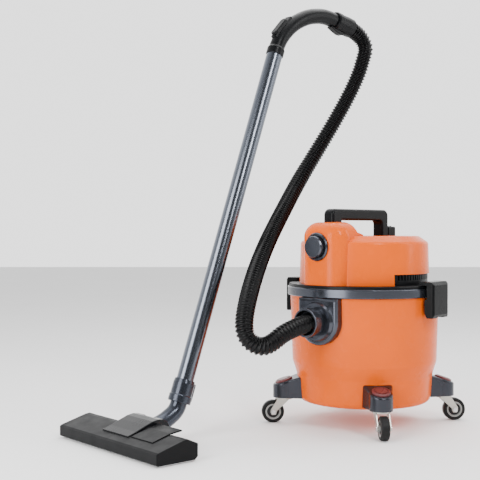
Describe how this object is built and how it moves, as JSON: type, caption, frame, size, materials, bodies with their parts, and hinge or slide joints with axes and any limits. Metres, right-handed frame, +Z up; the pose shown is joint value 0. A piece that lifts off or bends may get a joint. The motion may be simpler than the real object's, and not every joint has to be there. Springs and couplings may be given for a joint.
{
  "type": "shop vacuum",
  "caption": "Wheeled drum shop vacuum with a latched motor head, ribbed hose, bent grip, straight wand and wide pivoting floor nozzle.",
  "frame": {"origin": "on the floor under the drum's vertical axis", "axes": "+Z up along the drum's axis, -Y towards the front caster arm, +X towards the right caster arm; the inlet and blower port face halfway between -X and -Y"},
  "size_m": [0.8832, 0.6674, 0.9444],
  "materials": {
    "arm_plastic": "satin moulded",
    "band_plastic": "satin, metallic look",
    "black_plastic": "fine moulded grain",
    "bristle": "nylon bristle",
    "cage_plastic": "plain",
    "cap_plastic": "glossy",
    "filter_cloth": "felt",
    "float_plastic": "plain",
    "gasket_rubber": "matte",
    "hose_plastic": "ribbed, satin",
    "hub_plastic": "satin",
    "motor_metal": "plain",
    "neck_plastic": "satin",
    "nozzle_plastic": "grained",
    "orange_plastic": "glossy moulded",
    "sole_metal": "brushed",
    "steel_pin": "bright",
    "tyre_rubber": "matte",
    "wand_metal": "polished dark anodised",
    "zinc": "zinc plated"
  },
  "bodies": {
    "drum_unit": {"drum": "orange_plastic", "rim_band": "band_plastic", "inlet_port": "band_plastic", "arm_caps": "cap_plastic", "stem_bushes": "cage_plastic", "latch_brackets": "black_plastic", "latch_pins": "steel_pin", "hose": "hose_plastic", "grip": "black_plastic", "wand_tube": "wand_metal", "neck_collar": "neck_plastic", "nozzle_neck": "neck_plastic", "caster_arm_front": "arm_plastic", "caster_arm_right": "arm_plastic", "caster_arm_back": "arm_plastic", "caster_arm_left": "arm_plastic"},
    "head": {"head_cover": "orange_plastic", "head_base": "black_plastic", "exhaust_grille": "black_plastic", "blower_ring": "band_plastic", "carry_handle": "black_plastic", "switch_housing": "black_plastic", "cord_gland": "gasket_rubber", "lid_gasket": "gasket_rubber", "motor_housing": "cage_plastic", "motor_core": "motor_metal", "filter_cage": "cage_plastic", "filter_sleeve": "filter_cloth"},
    "blower_plug": {"blower_plug": "band_plastic"},
    "switch_rocker": {"switch_rocker": "black_plastic"},
    "impeller": {"impeller": "motor_metal"},
    "float_ball": {"float_ball": "float_plastic"},
    "latch_right": {"latch_right": "black_plastic"},
    "latch_left": {"latch_left": "black_plastic"},
    "inlet_cuff": {"inlet_cuff": "band_plastic"},
    "grip_cuff": {"grip_cuff": "black_plastic"},
    "air_slider": {"air_slider": "black_plastic"},
    "release_button": {"release_button": "black_plastic"},
    "nozzle": {"nozzle_body": "nozzle_plastic", "nozzle_hood": "nozzle_plastic", "sole_plate": "sole_metal"},
    "brush_strips": {"brush_strips": "bristle"},
    "brush_pedal": {"brush_pedal": "nozzle_plastic"},
    "caster_front": {"caster_fork_front": "zinc", "caster_axle_front": "steel_pin"},
    "wheel_front": {"caster_hub_front": "hub_plastic", "caster_tyre_front": "tyre_rubber"},
    "caster_right": {"caster_fork_right": "zinc", "caster_axle_right": "steel_pin"},
    "wheel_right": {"caster_hub_right": "hub_plastic", "caster_tyre_right": "tyre_rubber"},
    "caster_back": {"caster_fork_back": "zinc", "caster_axle_back": "steel_pin"},
    "wheel_back": {"caster_hub_back": "hub_plastic", "caster_tyre_back": "tyre_rubber"},
    "caster_left": {"caster_fork_left": "zinc", "caster_axle_left": "steel_pin"},
    "wheel_left": {"caster_hub_left": "hub_plastic", "caster_tyre_left": "tyre_rubber"}
  },
  "joints": [
    {"name": "swivel_front", "type": "hinge", "parent": "drum_unit", "child": "caster_front", "pos_m": [0.01263, -0.18056, 0.056], "axis": [0, 0, 1], "continuous": true},
    {"name": "roll_front", "type": "hinge", "parent": "caster_front", "child": "wheel_front", "pos_m": [0.01437, -0.2055, 0.025], "axis": [0.9976, 0.0698, 0], "continuous": true},
    {"name": "swivel_right", "type": "hinge", "parent": "drum_unit", "child": "caster_right", "pos_m": [0.18056, 0.01263, 0.056], "axis": [0, 0, 1], "continuous": true},
    {"name": "roll_right", "type": "hinge", "parent": "caster_right", "child": "wheel_right", "pos_m": [0.2055, 0.01437, 0.025], "axis": [-0.0698, 0.9976, 0], "continuous": true},
    {"name": "swivel_back", "type": "hinge", "parent": "drum_unit", "child": "caster_back", "pos_m": [-0.01263, 0.18056, 0.056], "axis": [0, 0, 1], "continuous": true},
    {"name": "roll_back", "type": "hinge", "parent": "caster_back", "child": "wheel_back", "pos_m": [-0.01437, 0.2055, 0.025], "axis": [-0.9976, -0.0698, 0], "continuous": true},
    {"name": "swivel_left", "type": "hinge", "parent": "drum_unit", "child": "caster_left", "pos_m": [-0.18056, -0.01263, 0.056], "axis": [0, 0, 1], "continuous": true},
    {"name": "roll_left", "type": "hinge", "parent": "caster_left", "child": "wheel_left", "pos_m": [-0.2055, -0.01437, 0.025], "axis": [0.0698, -0.9976, 0], "continuous": true},
    {"name": "head_lift", "type": "slide", "parent": "drum_unit", "child": "head", "axis": [0, 0, 1], "range_m": [0, 0.25]},
    {"name": "plug_pull", "type": "slide", "parent": "head", "child": "blower_plug", "axis": [-0.7071, -0.7071, 0], "range_m": [0, 0.05]},
    {"name": "rocker_tilt", "type": "hinge", "parent": "head", "child": "switch_rocker", "pos_m": [0.0623, 0.0623, 0.434], "axis": [-0.7071, 0.7071, 0], "range_deg": [0, 12]},
    {"name": "fan_spin", "type": "hinge", "parent": "head", "child": "impeller", "pos_m": [0, 0, 0.34], "axis": [0, 0, 1], "continuous": true},
    {"name": "float_rise", "type": "slide", "parent": "head", "child": "float_ball", "axis": [0, 0, 1], "range_m": [0, 0.05]},
    {"name": "latch_open_right", "type": "hinge", "parent": "drum_unit", "child": "latch_right", "pos_m": [0.14184, -0.11082, 0.257], "axis": [0.6157, 0.788, 0], "range_deg": [0, 50]},
    {"name": "latch_open_left", "type": "hinge", "parent": "drum_unit", "child": "latch_left", "pos_m": [-0.14184, 0.11082, 0.257], "axis": [-0.6157, -0.788, 0], "range_deg": [0, 50]},
    {"name": "inlet_cuff_turn", "type": "hinge", "parent": "drum_unit", "child": "inlet_cuff", "pos_m": [-0.12639, -0.14186, 0.236], "axis": [-0.6652, -0.7466, 0], "continuous": true},
    {"name": "grip_cuff_turn", "type": "hinge", "parent": "drum_unit", "child": "grip_cuff", "pos_m": [-0.04328, 0.11856, 0.919], "axis": [0.7473, 0.6371, -0.1888], "continuous": true},
    {"name": "air_slide", "type": "slide", "parent": "drum_unit", "child": "air_slider", "axis": [0.519, 0.4425, 0.7314], "range_m": [0, 0.009]},
    {"name": "button_press", "type": "slide", "parent": "drum_unit", "child": "release_button", "axis": [-0.7165, -0.6108, 0.337], "range_m": [0, 0.002], "stiffness_N_per_m": 400},
    {"name": "nozzle_pitch", "type": "hinge", "parent": "drum_unit", "child": "nozzle", "pos_m": [-0.46486, -0.24087, 0.03], "axis": [0.6488, -0.761, 0], "range_deg": [-12, 28]},
    {"name": "pedal_press", "type": "hinge", "parent": "nozzle", "child": "brush_pedal", "pos_m": [-0.46234, -0.35173, 0.03], "axis": [-0.6488, 0.761, 0], "range_deg": [0, 4]},
    {"name": "brush_raise", "type": "slide", "parent": "nozzle", "child": "brush_strips", "axis": [0, 0, 1], "range_m": [0, 0.004]}
  ],
  "couplings": [
    {"joint": "brush_raise", "follows": "pedal_press", "m_per_rad": 0.057296}
  ]
}
